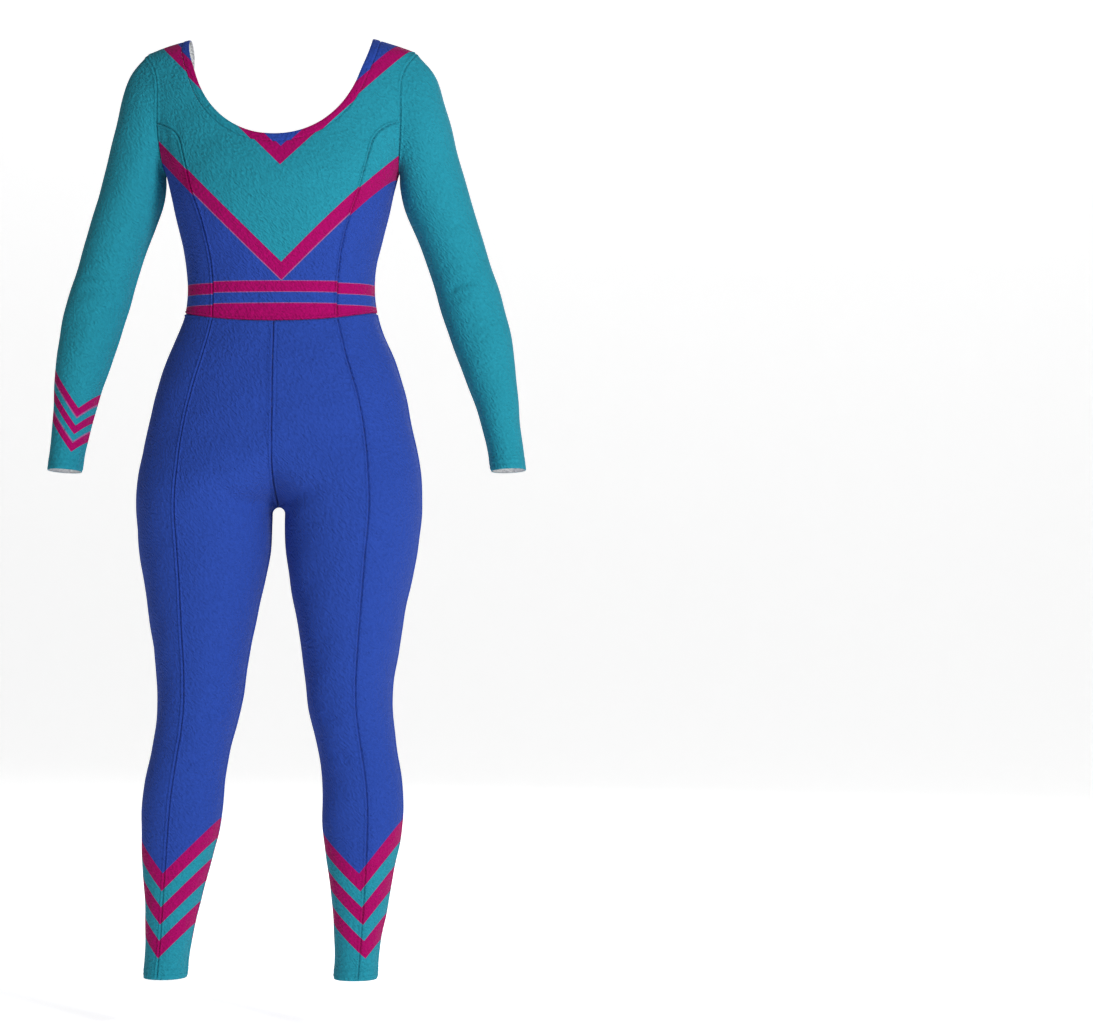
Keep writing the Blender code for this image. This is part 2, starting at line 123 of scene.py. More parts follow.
# Length of one step of the rows: at the waist, on the shoulder, at the armhole's front and underarm
WAIST_STEP = 0.030
SHOULDER_STEP = 0.010
ARMHOLE_STEP = 0.024
UNDERARM_STEP = 0.026
UNDERARM_GAP = 0.34
ROW_MARGIN = 0.3

# Leg rows: from and to this height, with this distance between them
LEG_ROWS = (
    (WAIST_SIDE_Z - BORDER[-1], CROTCH_Z + 0.030, 0.0040),
    (CROTCH_Z + 0.030, CROTCH_Z, 0.0015),
    (CROTCH_Z, CROTCH_Z - 0.018, 0.0012),
    (CROTCH_Z - 0.018, HEM_Z + 0.022, 0.0042),
    (HEM_Z + 0.022, HEM_Z + 0.0012, 0.0012),
    (HEM_Z + 0.0012, HEM_Z, 0.0004),
)
LEG_PRINCESS_FADE = 0.03

# Sleeve rings, in rows of its table: close together over the end rows, and closest at the cuff's edge
SLEEVE_END = 0.5
SLEEVE_EDGE = 0.02
SLEEVE_STEP = 0.085
CAP_RINGS = 16
CUFF_RINGS = 24
EDGE_RINGS = 4

# Distances to a line are read at this step, in parts of this many pairs of points
LINE_STEP = 0.0005
PAIRS_AT_ONCE = 3_000_000

# Ridges and dents along a line, each with its height, distance from the line and width: a seam's valley,
# its allowance's ridge and its topstitch's dent, the neck seam's valley, and the armhole's ridge
STITCH_AT = 0.0046
SEAM = ((-0.0013, 0.0, 0.0011), (0.0011, 0.0027, 0.0014), (-0.00055, STITCH_AT, 0.0008))
NECK_SEAM = ((-0.0007, 0.0, 0.0011),)
ARM_SEAM = ((0.0010, 0.0027, 0.0014),)

# How far from the armhole the other seams, waves and creases have their full relief
ARM_SEAM_FADE = 0.005
UNDERARM_SEAM_FADE = 0.01
ARM_CALM = 0.030

# Relief of hems
HEM_WIDTH = 0.0165
HEM_PROUD = 0.0004
HEM_FADE = 0.003
HEM_STITCH_ROWS = (0.0075, 0.0150)
HEM = (*((-0.00035, row, 0.0012) for row in HEM_STITCH_ROWS), (-0.0005, 0.0, 0.0008))
HEM_SEAM_START = 0.001
HEM_SEAM_FADE = 0.004

# Relief of the neck band
BAND_STEP = 0.0020
BAND_STEP_WIDTH = 0.0020
BAND_SUNK = 0.0009
BAND_EDGE = 0.0009
BAND_EDGE_AT = 0.0085
BAND_EDGE_WIDTH = 0.0025
BAND_STITCH_LINES = (0.0040, 0.0090)
BAND_DENTS = [(-0.0003, line, 0.0009) for line in BAND_STITCH_LINES]

# Sewing thread: which column of a grid it follows beside a seam, and how many rows it leaves free
THREAD_RADIUS = 0.00022
THREAD_LIFT = 0.00005
STITCH_START = 0.001
STITCH_LENGTH = 0.0023
STITCH_PITCH = 0.0031
STITCH_SHARES = np.array([0.0, 0.25, 0.75, 1.0])
STITCH_RISES = np.array([-0.4, 1.0, 1.0, -0.4]) * THREAD_RADIUS
STITCH_COLUMN = 5
SIDE_ROWS_FREE = 12
BACK_ROWS_FREE = 4

# Faint waves: size, how fast each turns along x, y and z, and where it starts
WAVES = (
    (0.00030, 61, 18, 47, 0.4),
    (0.00028, -43, 35, 71, 1.9),
    (0.00022, 97, -29, -58, 3.1),
    (0.00016, 31, 88, 119, 0.9),
)


def screen(red, green, blue):
    """Linear colour from 8-bit screen values."""
    c = np.array([red, green, blue]) / 255
    linear = np.where(c <= 0.04045, c / 12.92, ((c + 0.055) / 1.055) ** 2.4)
    return (*linear.tolist(), 1.0)


# Knit: crinkle and grain, how much they roughen, the painted shade that darkens the crinkle's hollows and
# lightens its crests, and the finish
CRINKLE_TURN = (0.0, 0.7, 0.0)
CRINKLE_STRETCH = (2.2, 1.5, 1.0)
CRINKLE = {"Scale": 400.0, "Detail": 1.5, "Roughness": 0.5}
GRAIN = {"Scale": 900.0, "Detail": 1.0, "Roughness": 0.5}
GRAIN_SHARE = 0.20
KNIT_BUMP = {"Strength": 1.0, "Distance": 0.0036}
CRINKLE_SHADE_RANGE = 0.30
CRINKLE_SHADE_LOW = 0.85
KNIT_FINISH = {
    "Roughness": 0.85,
    "IOR": 1.45,
    "Specular IOR Level": 0.12,
    "Sheen Weight": 0.03,
    "Sheen Roughness": 0.5,
}

# Print colours, and the pale hairline between two
TEAL = screen(32, 135, 155)
BLUE = screen(38, 68, 156)
MAGENTA = screen(158, 0, 92)
PALE_EDGE = screen(150, 90, 136)
PALE_INSIDE = screen(226, 228, 230)
HAIRLINE = 0.0007

# The lowest colours start here, and the highest runs on for this far
PRINT_LOW = -0.60
STRIPES_LOW = -0.50
TOP_BAND = 0.05

# How much lower the band's print lies, where its back begins, and the edges of the V at the neck
NECK_BAND_LOWER = 0.0045
SHOULDER_Y = 0.010
NECK_V = (-0.190, -0.163)

# Bodice print: the V's x, slope, lower and upper edge, and the edges of the stripes from the top
BODICE_PRINTS = {
    "centre": (0.011, 0.980, -0.3510, -0.3250, (-0.3510, -0.3666, -0.3820)),
    "side": (0.011, 0.980, -0.3532, -0.3272, (-0.3530, -0.3685, -0.3836)),
    "back_left": (-0.0115, 0.992, -0.3484, -0.3234, (-0.3470, -0.3625, -0.3780)),
    "back_right": (-0.0115, 0.992, -0.3500, -0.3250, (-0.3515, -0.3670, -0.3825)),
}

# Chevrons: piece, colour above, tip's x and z, slope, lean, a stripe's height and the step between stripes
CHEVRON_PRINTS = (
    ("leg_front_left", BLUE, 0.1160, -1.1882, 1.114, 0.0646, 0.0257, 0.0482),
    ("leg_front_right", BLUE, -0.1640, -1.1893, 1.114, -0.0646, 0.0257, 0.0482),
    ("leg_back_left", BLUE, 0.1090, -1.1910, 1.114, 0.0646, 0.0257, 0.0482),
    ("leg_back_right", BLUE, -0.1460, -1.1910, 1.114, -0.0646, 0.0257, 0.0482),
    ("sleeve_right", TEAL, -0.2900, -0.5281, 1.057, -0.1690, 0.0134, 0.0246),
)

# Where the arms begin and end, and how far back they lie
ARM_X = 0.19
ARM_X_FADE = 0.02
ARM_END_Z = -0.63
ARM_BACK = 0.020

# A crease's turn from front to back, its bow, how it fades at its start and end, and its ridge: height,
# place and width against the trough's
CREASE_TURN = 0.03
CREASE_BOW = 0.10
CREASE_START = (0.35, 0.2)
CREASE_END = (0.45, 0.15)
CREASE_RIDGE = (0.55, 1.9, 1.3)

# Creases: side (1 front, -1 back), from x z to x z as seen from the front, half width, depth
CREASES = np.array([float(number) for number in """
    1 -0.284 -0.34 -0.236 -0.349 0.005 0.0022
    1 -0.288 -0.3575 -0.23 -0.3735 0.0065 0.0028
    1 -0.262 -0.386 -0.224 -0.392 0.0045 0.0013
    1 0.238 -0.364 0.284 -0.348 0.006 0.0026
    1 0.242 -0.379 0.28 -0.366 0.005 0.002
    1 0.226 -0.33 0.262 -0.326 0.0045 0.0012
    -1 -0.29 -0.346 -0.236 -0.358 0.006 0.0026
    -1 -0.28 -0.372 -0.226 -0.377 0.005 0.002
    -1 0.236 -0.352 0.288 -0.338 0.006 0.0026
    -1 0.23 -0.374 0.28 -0.366 0.0055 0.0018
    1 -0.176 -0.1 -0.158 -0.176 0.006 0.002
    1 0.174 -0.104 0.16 -0.17 0.0055 0.0018
    1 -0.15 -0.118 -0.14 -0.16 0.006 0.0012
    -1 -0.178 -0.09 -0.152 -0.17 0.007 0.0022
    -1 0.176 -0.094 0.154 -0.166 0.0065 0.002
    -1 0.15 -0.12 0.124 -0.176 0.006 0.0011
    1 -0.01 -0.668 -0.088 -0.632 0.012 0.0036
    1 0.012 -0.668 0.078 -0.638 0.011 0.0032
    -1 -0.02 -0.664 -0.09 -0.64 0.01 0.0022
    -1 0.022 -0.664 0.084 -0.644 0.0095 0.002
    1 -0.106 -0.972 -0.074 -0.948 0.007 0.0022
    1 -0.134 -1.034 -0.098 -1.029 0.007 0.0024
    1 -0.15 -0.99 -0.12 -1 0.007 0.0012
    1 0.074 -1.014 0.106 -1.03 0.007 0.0024
    1 0.062 -0.962 0.094 -0.976 0.0065 0.0016
    -1 -0.15 -1.004 -0.086 -0.996 0.007 0.0026
    -1 -0.14 -1.03 -0.092 -1.038 0.006 0.0018
    -1 0.076 -0.994 0.138 -1.004 0.007 0.0026
    -1 0.084 -1.036 0.13 -1.028 0.006 0.0018
    -1 -0.118 -0.33 -0.04 -0.342 0.008 0.0012
    -1 0.044 -0.346 0.112 -0.334 0.008 0.0012
""".split()]).reshape(-1, 7)

# Studio
FLOOR_Z = -1.42
FLOOR_START_Y = -9.0
BACKDROP_Y = 6.8
BACKDROP_TOP_Z = 7.0
BACKDROP_HALF_WIDTH = 9.0
BACKDROP_RADIUS = 2.5
BACKDROP_LINES = 24
PAPER = screen(246, 246, 246)
PAPER_ROUGHNESS = 0.9
PAPER_GLOW = 0.58
WORLD_LIGHT = 0.10
LIGHTS = {"key": ((2.9, -3.7, 1.1), 202.0), "back": ((0.6, 3.4, 0.9), 60.0)}
LIGHT_SIZE = 1.2
LIGHT_TARGET = (0.0, 0.0, -0.6)
CAMERA_PLACE = (0.609, -4.963, -0.675)
CAMERA_TURN = 0.0463
CAMERA_LENS = 115.0
CAMERA_SENSOR = 36.0


def table(names, numbers):
    """Rows of numbers, sorted by their first column, as one array for each named column."""
    names = names.split()
    rows = np.array([float(number) for number in numbers.split()]).reshape(-1, len(names))
    return dict(zip(names, rows[rows[:, 0].argsort()].T))


BODY = table("z half_width front back", """
    0 0.131 0.028 0.032   -0.01 0.163 0.038 0.044   -0.021 0.192 0.048 0.056
    -0.036 0.205 0.058 0.066   -0.06 0.209 0.07 0.078   -0.1 0.204 0.085 0.09
    -0.14 0.188 0.098 0.097   -0.19 0.167 0.112 0.098   -0.236 0.156 0.112 0.093
    -0.3 0.14 0.099 0.081   -0.358 0.133 0.089 0.073   -0.408 0.141 0.09 0.078
    -0.45 0.158 0.096 0.091   -0.493 0.174 0.101 0.105   -0.536 0.184 0.104 0.117
    -0.59 0.196 0.103 0.124   -0.64 0.203 0.099 0.121   -0.69 0.203 0.093 0.108
    -0.74 0.197 0.089 0.097   -0.8 0.186 0.084 0.088   -0.858 0.177 0.078 0.08
    -0.91 0.1695 0.072 0.072   -0.96 0.168 0.066 0.065   -1.01 0.174 0.061 0.059
    -1.065 0.184 0.056 0.062   -1.12 0.1863 0.051 0.065   -1.18 0.18 0.045 0.058
    -1.24 0.1725 0.039 0.048   -1.295 0.1675 0.036 0.042   -1.34 0.167 0.035 0.04
""")
INNER_LEG = table("z inner", """
    -0.668 0.01   -0.7 0.01   -0.74 0.0132   -0.786 0.0215   -0.844 0.0329   -0.901 0.0418
    -0.958 0.0503   -1.015 0.064   -1.065 0.0712   -1.12 0.0742   -1.18 0.085   -1.24 0.0968
    -1.295 0.1045   -1.34 0.1058
""")
MIDDLE = table("z y", """
    0 0.01   -0.13 0.009   -0.26 0.003   -0.365 0   -0.7 0   -1.34 0
""")
SWAY = table("z shift", """
    0 0   -0.214 0.001   -0.365 0   -0.6 -0.002   -0.843 -0.007
    -0.958 -0.0093   -1.06 -0.0112   -1.187 -0.0184   -1.301 -0.0272   -1.34 -0.0305
""")
BODICE_PRINCESS = table("z x", """
    -0.402 0.0883   -0.35 0.0886   -0.297 0.0958   -0.26 0.1057   -0.226 0.117   -0.189 0.127
    -0.158 0.1345
""")
LEG_PRINCESS = table("z x", """
    -0.402 0.0883   -0.458 0.103   -0.515 0.1198   -0.6 0.1337   -0.665 0.1375   -0.729 0.1332
    -0.844 0.1255   -0.901 0.1222   -0.958 0.123   -1.015 0.1309   -1.072 0.139   -1.13 0.1421
    -1.244 0.1432   -1.34 0.1433
""")
SLEEVE = table("row outer_x outer_z inner_x inner_z half_depth middle_y", """
    0 0.192 -0.021 0.167 -0.189 0.0515 0.01
    1 0.218 -0.0515 0.1687 -0.197 0.0525 0.011
    2 0.234 -0.097 0.169 -0.208 0.052 0.013
    3 0.247 -0.15 0.1712 -0.225 0.0505 0.016
    4 0.258 -0.193 0.1775 -0.248 0.049 0.019
    5 0.2712 -0.236 0.1905 -0.279 0.047 0.022
    6 0.2842 -0.279 0.203 -0.311 0.045 0.026
    7 0.2978 -0.322 0.2142 -0.344 0.043 0.028
    8 0.3112 -0.365 0.224 -0.379 0.042 0.028
    9 0.3222 -0.408 0.237 -0.42 0.04 0.026
    10 0.3292 -0.45 0.2525 -0.465 0.0375 0.023
    11 0.333 -0.495 0.2683 -0.509 0.0345 0.02
    12 0.3365 -0.55 0.2842 -0.561 0.031 0.017
    13 0.344 -0.615 0.295 -0.6175 0.029 0.015
""")


def spline(at, known, values):
    """Natural cubic spline through the known values: its curvature is zero at both ends."""
    count = len(known)
    step = np.diff(known)
    slope = np.diff(values) / step
    system = np.eye(count)
    right = np.zeros(count)
    for i in range(1, count - 1):
        system[i, i - 1 : i + 2] = step[i - 1], 2 * (step[i - 1] + step[i]), step[i]
        right[i] = 6 * (slope[i] - slope[i - 1])
    bend = np.linalg.solve(system, right)
    i = np.clip(np.searchsorted(known, at) - 1, 0, count - 2)
    left = at - known[i]
    rest = known[i + 1] - at
    return (
        (bend[i] * rest**3 + bend[i + 1] * left**3) / (6 * step[i])
        + (values[i] / step[i] - bend[i] * step[i] / 6) * rest
        + (values[i + 1] / step[i] - bend[i + 1] * step[i] / 6) * left
    )


def column(source, name, at):
    """A named column of a table at the given values of its first column."""
    return spline(at, next(iter(source.values())), source[name])


def ease(x):
    """0 up to x = 0, 1 from x = 1, and a smooth rise between them."""
    x = np.clip(x, 0, 1)
    return x * x * (3 - 2 * x)


def signed_power(x, power):
    return np.sign(x) * np.abs(x) ** power


def section(z):
    """What describes half of the level section at each height, by name."""
    power = TORSO_POWER + (LEG_POWER - TORSO_POWER) * ease((POWER_CHANGE_Z - z) / POWER_CHANGE_HEIGHT)
    above = z >= CROTCH_Z
    radius = ARCH_RADIUS * (1 - ease((z - CROTCH_Z) / ARCH_FADE))
    lift = np.where(above, radius, np.clip(ARCH_RADIUS - (CROTCH_Z - z), 0, None))
    join = ease(1 - (z - CROTCH_Z) / MERGE_HEIGHT)
    outer = np.hypot(column(BODY, "half_width", z), lift) - radius
    inner = column(INNER_LEG, "inner", np.minimum(z, CROTCH_Z)) - ARCH_RADIUS
    half = np.where(above, outer / (1 + join), (outer - inner) / 2)
    return {
        "power": power,
        "radius": radius,
        "lift": lift,
        "half": half,
        "centre": np.where(above, join * half, (outer + inner) / 2),
        "last_angle": np.arccos(-(join ** (power / 2))),
        "front": column(BODY, "front", z),
        "back": column(BODY, "back", z),
        "middle": column(MIDDLE, "y", z),
    }


def body(angle, z):
    """Points of the left half: a superellipse round each leg or half torso, cut where the halves meet."""
    s = section(z)
    across = s["centre"] + s["half"] * signed_power(np.cos(angle), 2 / s["power"])
    x = np.sqrt(np.clip((across + s["radius"]) ** 2 - s["lift"] ** 2, 0, None))
    depth = np.where(angle > 0, s["front"], s["back"])
    y = s["middle"] - depth * signed_power(np.sin(angle), 2 / s["power"])
    return np.stack([x, y, z + 0 * x], axis=-1)


def angle_at(x, z):
    """The positive angle at which the body surface has this x."""
    s = section(z)
    across = np.hypot(x, s["lift"]) - s["radius"] - s["centre"]
    return np.arccos(np.clip(signed_power(across / s["half"], s["power"] / 2), -1, 1))


def waist_z(angle):
    """Height of the waist seam: it drops with the square of the sine, from the side to the middle."""
    drop = np.where(angle > 0, WAIST_FRONT_DROP, WAIST_BACK_DROP)
    return WAIST_SIDE_Z - drop * np.sin(angle) ** 2


def height_of_width(x):
    """The height on the sloping shoulder at which the body is this wide."""
    z = np.linspace(SHOULDER_SLOPE_Z, 0.0, DENSE)
    return np.interp(-x, -column(BODY, "half_width", z), z)


def neck_line(shape, beyond):
    """Angles and heights from the centre line to the shoulder, at a distance beyond the neck's edge."""
    turn = 0.5 * np.pi * (1 - np.linspace(1, 0, DENSE) ** 2)
    widest = NECK_SHOULDER_X + beyond
    to_shoulder = ease((turn - NECK_TURN_START) / NECK_TURN_RANGE)
    width = shape["half_width"] + beyond + (widest - shape["half_width"] - beyond) * to_shoulder
    top = height_of_width(widest)
    bottom = -shape["drop"] - beyond
    x = width * np.sin(turn) ** (2 / shape["power"])
    z = top + (bottom - top) * np.cos(turn) ** (2 / shape["power"])
    z[-1] = top
    angle = angle_at(np.minimum(x, column(BODY, "half_width", z)), z)
    angle[0] = 0.5 * np.pi
    angle[-1] = 0.0
    return angle, z


def armhole_line(start, end, side):
    """Angles and heights on the armhole from one turn to another: 0 is the shoulder, pi the underarm.
    Its sine gives how far the point lies before or behind the torso's middle, and that its angle."""
    turn = np.linspace(start, end, DENSE)
    z = ARMHOLE_Z + ARMHOLE_HALF_HEIGHT * np.cos(turn)
    share = np.clip(ARMHOLE_HALF_DEPTH * np.sin(turn) / column(BODY, side, z), 0, 1)
    return np.arcsin(share ** (section(z)["power"] / 2)), z


def princess_line():
    """Angles and heights of the bodice princess seam, from the waist to the armhole."""
    straight = np.linspace(PRINCESS_START_Z, PRINCESS_BEND_Z, DENSE)
    low = angle_at(column(BODICE_PRINCESS, "x", straight), straight)
    corner = princess_turn()
    top_angle, top_z = armhole_line(corner, corner, "front")
    bow = np.linspace(0, 1, DENSE // 4)[1:]
    end = np.array([top_angle[0], top_z[0]])
    start = np.array([low[-1], straight[-1]])
    direction = start - np.array([low[-2], straight[-2]])
    knee = start + direction * PRINCESS_BEND_RISE / direction[1]
    weights = (1 - bow) ** 2, 2 * bow * (1 - bow), bow**2
    curve = sum(w[:, None] * point for w, point in zip(weights, (start, knee, end)))
    angle = np.concatenate([low, curve[:, 0]])
    z = np.concatenate([straight, curve[:, 1]])
    z[0] = waist_z(angle[0])
    return angle, z


def princess_turn():
    """The armhole's turn at which the princess seam meets it."""
    return np.arccos((PRINCESS_TOP_Z - ARMHOLE_Z) / ARMHOLE_HALF_HEIGHT)


def along(line, fractions, side=1):
    """Angles and heights at fractions of a line's length on the body surface."""
    angle, z = line
    points = body(side * angle, z)
    lengths = np.linalg.norm(np.diff(points, axis=0), axis=1)
    run = np.concatenate([[0.0], np.cumsum(lengths)])
    at = fractions * run[-1]
    return np.stack([side * np.interp(at, run, angle), np.interp(at, run, z)], axis=-1)


def row_numbers(count, first_step, last_step):
    """Row numbers from 0 to a count: eight to a step, and close together near both ends."""
    start = BORDER / first_step
    end = count - BORDER[::-1] / last_step
    middle = np.arange(count * ROWS_A_STEP + 1) / ROWS_A_STEP
    margin = ROW_MARGIN / ROWS_A_STEP
    middle = middle[(middle > start[-1] + margin) & (middle < end[0] - margin)]
    return np.concatenate([start, middle, end])


def level_line(angle, low, high):
    """A line of one angle between two heights."""
    z = np.linspace(low, high, DENSE)
    return np.full(DENSE, angle), z


def seam_points(rows, parts, side=1, to_shoulder=False):
    """Angles and heights at row numbers along lines that follow each other, each with its count of steps.
    The last step is short where the seam ends on a shoulder."""
    found = np.zeros((len(rows), 2))
    first = 0
    for count, line in parts:
        sizes = np.ones(count)
        if to_shoulder and first + count == sum(part[0] for part in parts):
            sizes[-1] = SHORT_STEP
        steps = np.concatenate([[0.0], np.cumsum(sizes)]) / sizes.sum()
        here = (rows >= first) & (rows <= first + count)
        found[here] = along(line, np.interp(rows[here] - first, np.arange(count + 1), steps), side)
        first += count
    return found


def surface(grid):
    """Points of the body at a grid of angles and heights."""
    return body(grid[..., 0], grid[..., 1])


def run(points, axis=0):
    """Distance along a grid's lines from their start."""
    lengths = np.linalg.norm(np.diff(points, axis=axis), axis=-1)
    start = np.zeros_like(np.take(lengths, [0], axis=axis))
    return np.concatenate([start, np.cumsum(lengths, axis=axis)], axis=axis)


def between(inner, outer, spacing=SPACING):
    """A grid straight from an inner line to an outer one along each row, in angles and heights. Its
    columns lie close together near both seams and evenly between them."""
    share = np.linspace(0, 1, 12)[None, :, None]
    width = run(surface(inner[:, None] * (1 - share) + outer[:, None] * share), axis=1)[:, -1]
    near = BORDER / np.maximum(width, NARROWEST)[:, None]
    count = max(4, int(np.median(width) / spacing))
    middle = near[:, -1:] + (1 - 2 * near[:, -1:]) * np.arange(1, count) / count
    share = np.concatenate([near, middle, 1 - near[:, ::-1]], axis=1)[..., None]
    return inner[:, None] * (1 - share) + outer[:, None] * share


def fit_waist(grid):
    """Bends the first row to the waist seam, and the rows near it less and less."""
    away = np.abs(grid[0, :, 1][None, :] - grid[..., 1])
    miss = waist_z(grid[0, :, 0]) - grid[0, :, 1]
    grid[..., 1] += miss[None, :] * (1 - ease(away / WAIST_FADE))
    return grid


def front_centre_half():
    """Grid from the centre line and neck to the princess seam and armhole, and its row numbers."""
    corner = princess_turn()
    rows = row_numbers(CENTRE_FRONT_ROWS + NECK_FRONT_ROWS, WAIST_STEP, SHOULDER_STEP)
    centre = level_line(0.5 * np.pi, waist_z(0.5 * np.pi), -NECK_FRONT["drop"] - NECK_BAND_WIDTH)
    neck = neck_line(NECK_FRONT, NECK_BAND_WIDTH)
    armhole = armhole_line(corner, 0.0, "front")
    inner = seam_points(rows, [(CENTRE_FRONT_ROWS, centre), (NECK_FRONT_ROWS, neck)], 1, True)
    outer = seam_points(rows, [(PRINCESS_ROWS, princess_line()), (ARM_UPPER_ROWS, armhole)], 1, True)
    return fit_waist(between(inner, outer)), rows


def front_side_half():
    """Grid from the princess seam to the side seam and armhole, and its row numbers."""
    underarm = ARMHOLE_Z - ARMHOLE_HALF_HEIGHT
    rows = row_numbers(PRINCESS_ROWS, WAIST_STEP, ARMHOLE_STEP)
    side = level_line(0.0, WAIST_SIDE_Z, underarm)
    armhole = armhole_line(np.pi, princess_turn(), "front")
    outer = seam_points(rows, [(SIDE_ROWS, side), (ARM_LOWER_ROWS, armhole)])
    inner = seam_points(rows, [(PRINCESS_ROWS, princess_line())])
    return fit_waist(between(inner, outer)), rows


def back_half():
    """Grid from the centre line and neck to the side seam and armhole, and its row numbers."""
    underarm = ARMHOLE_Z - ARMHOLE_HALF_HEIGHT
    rows = row_numbers(SIDE_ROWS + ARM_BACK_ROWS, WAIST_STEP, SHOULDER_STEP)
    centre = level_line(0.5 * np.pi, waist_z(-0.5 * np.pi), -NECK_BACK["drop"] - NECK_BAND_WIDTH)
    neck = neck_line(NECK_BACK, NECK_BAND_WIDTH)
    side = level_line(0.0, WAIST_SIDE_Z, underarm)
    armhole = armhole_line(np.pi, 0.0, "back")
    inner = seam_points(rows, [(CENTRE_BACK_ROWS, centre), (NECK_BACK_ROWS, neck)], -1, True)
    outer = seam_points(rows, [(SIDE_ROWS, side), (ARM_BACK_ROWS, armhole)], -1, True)
    return fit_waist(between(inner, outer)), rows


def leg_heights():
    """Heights of the leg rows: close together at the waist, where the legs part and at the hem."""
    levels = [WAIST_SIDE_Z - BORDER]
    for high, low, spacing in LEG_ROWS:
        count = max(2, round((high - low) / spacing))
        levels.append(np.linspace(high, low, count + 1)[1:])
    return np.concatenate(levels)


def leg_half(inner_name, outer_name):
    """A grid between two lines down the leg."""
    z = leg_heights()
    lines = {
        "front_centre": section(z)["last_angle"],
        "princess": angle_at(column(LEG_PRINCESS, "x", z), z),
        "side": 0 * z,
        "back_centre": -section(z)["last_angle"],
    }
    top = along(princess_line(), np.array([0.0]))[0, 0]
    miss = top - lines["princess"][0]
    lines["princess"] = lines["princess"] + miss * (1 - ease((WAIST_SIDE_Z - z) / LEG_PRINCESS_FADE))
    inner = np.stack([lines[inner_name], z], axis=-1)
    outer = np.stack([lines[outer_name], z], axis=-1)
    return fit_waist(between(inner, outer, LEG_SPACING))


def armhole_ring():
    """The left armhole from the shoulder down the front and up the back, without the last point."""
    corner = princess_turn()
    count = ARM_UPPER_ROWS + ARM_LOWER_ROWS + ARM_BACK_ROWS
    rows = np.arange(count * COLUMNS_A_STEP) / COLUMNS_A_STEP
    underarm = ARM_UPPER_ROWS + ARM_LOWER_ROWS
    close = np.concatenate([-BORDER[:0:-1], BORDER[1:]]) / UNDERARM_STEP
    others = rows[np.abs(rows - underarm) > UNDERARM_GAP]
    rows = np.sort(np.concatenate([others, [underarm], underarm + close]))
    upper = armhole_line(corner, 0.0, "front")
    lower = armhole_line(np.pi, corner, "front")
    back = armhole_line(np.pi, 0.0, "back")
    front_rows = underarm - rows[rows <= underarm]
    front = seam_points(front_rows, [(ARM_LOWER_ROWS, lower), (ARM_UPPER_ROWS, upper)], 1, True)
    behind = seam_points(rows[rows > underarm] - underarm, [(ARM_BACK_ROWS, back)], -1, True)
    ring = np.concatenate([front, behind])
    return surface(ring), ring, rows / count * 2 * np.pi


def sleeve_points():
    """Rings from the armhole to the cuff: ellipses through the outer and inner lines, and what the
    armhole departs from the first of them fades out down the cap. Also each point's turn."""
    hole, ring, even = armhole_ring()
    last = SLEEVE["row"][-1]
    cuff = last - SLEEVE_END
    edge = last - SLEEVE_EDGE
    row = np.concatenate([
        np.linspace(0, SLEEVE_END, CAP_RINGS)[:-1],
        np.arange(SLEEVE_END, cuff, SLEEVE_STEP),
        np.linspace(cuff, edge, CUFF_RINGS)[:-1],
        np.linspace(edge, last, EDGE_RINGS),
    ])[:, None]
    outer = np.stack([column(SLEEVE, "outer_x", row), column(SLEEVE, "outer_z", row)], axis=-1)
    inner = np.stack([column(SLEEVE, "inner_x", row), column(SLEEVE, "inner_z", row)], axis=-1)
    cosine = (ring[:, 1] - ARMHOLE_Z) / ARMHOLE_HALF_HEIGHT
    turn = np.arccos(np.clip(cosine, -1, 1))
    turn = np.where(even > np.pi + NEAR, 2 * np.pi - turn, turn)
    relax = ease(row / (last * CAP_RELAX))
    turn = turn * (1 - relax) + even * relax
    across = np.cos(turn)[..., None] * (outer - inner) / 2 + (outer + inner) / 2
    y = column(SLEEVE, "middle_y", row) - column(SLEEVE, "half_depth", row) * np.sin(turn)
    points = np.stack([across[..., 0], y, across[..., 1]], axis=-1)
    fade = 1 - ease(row / (last * CAP_FADE))
    points += (hole - points[0]) * fade[..., None]
    tilt = ease(row / (last * CUFF_SHARE) + 1 - 1 / CUFF_SHARE)
    points[..., 2] += CUFF_TILT / 2 * tilt * np.sin(turn)
    return points, turn


def neck_band_points():
    """Rings from the band's seam to the neck's edge: down the left front, round to the right, and back."""
    rings = []
    front_rows = np.arange(NECK_FRONT_ROWS * ROWS_A_STEP + 1) / ROWS_A_STEP
    back_rows = np.arange(NECK_BACK_ROWS * ROWS_A_STEP + 1) / ROWS_A_STEP
    for beyond in NECK_BAND_WIDTH - BAND_LINES:
        front = seam_points(front_rows, [(NECK_FRONT_ROWS, neck_line(NECK_FRONT, beyond))], 1, True)
        back = seam_points(back_rows, [(NECK_BACK_ROWS, neck_line(NECK_BACK, beyond))], -1, True)
        half = surface(np.concatenate([front, back[-2::-1]]))
        rings.append(np.concatenate([half, half[-2:0:-1] * MIRROR]))
    return np.stack(rings)


def swayed(points, swing=0.0):
    """The whole suit leans a little to its right on the way down, and the sleeves swing to its left."""
    out = points.copy()
    out[..., 0] += column(SWAY, "shift", np.clip(points[..., 2], HEM_Z, 0.0))
    out[..., 0] += swing * ease((SWING_START_Z - points[..., 2]) / SWING_HEIGHT)
    return out


def outward(points, turns_over, closed_round=False):
    """Unit normals of a grid, from the cross product of its two directions."""
    wide = np.concatenate([points[:, -1:], points, points[:, :1]], axis=1) if closed_round else points
    across = np.gradient(wide, axis=1)
    across = across[:, 1:-1] if closed_round else across
    up = np.gradient(points, axis=0)
    normal = np.cross(across, up)
    size = np.linalg.norm(normal, axis=-1, keepdims=True)
    normal = np.where(size > 1e-12, normal / np.maximum(size, 1e-12), 0.0)
    if (size[-1] <= 1e-12).any():
        normal[-1] = normal[-2].mean(axis=0)
    return -normal if turns_over else normal


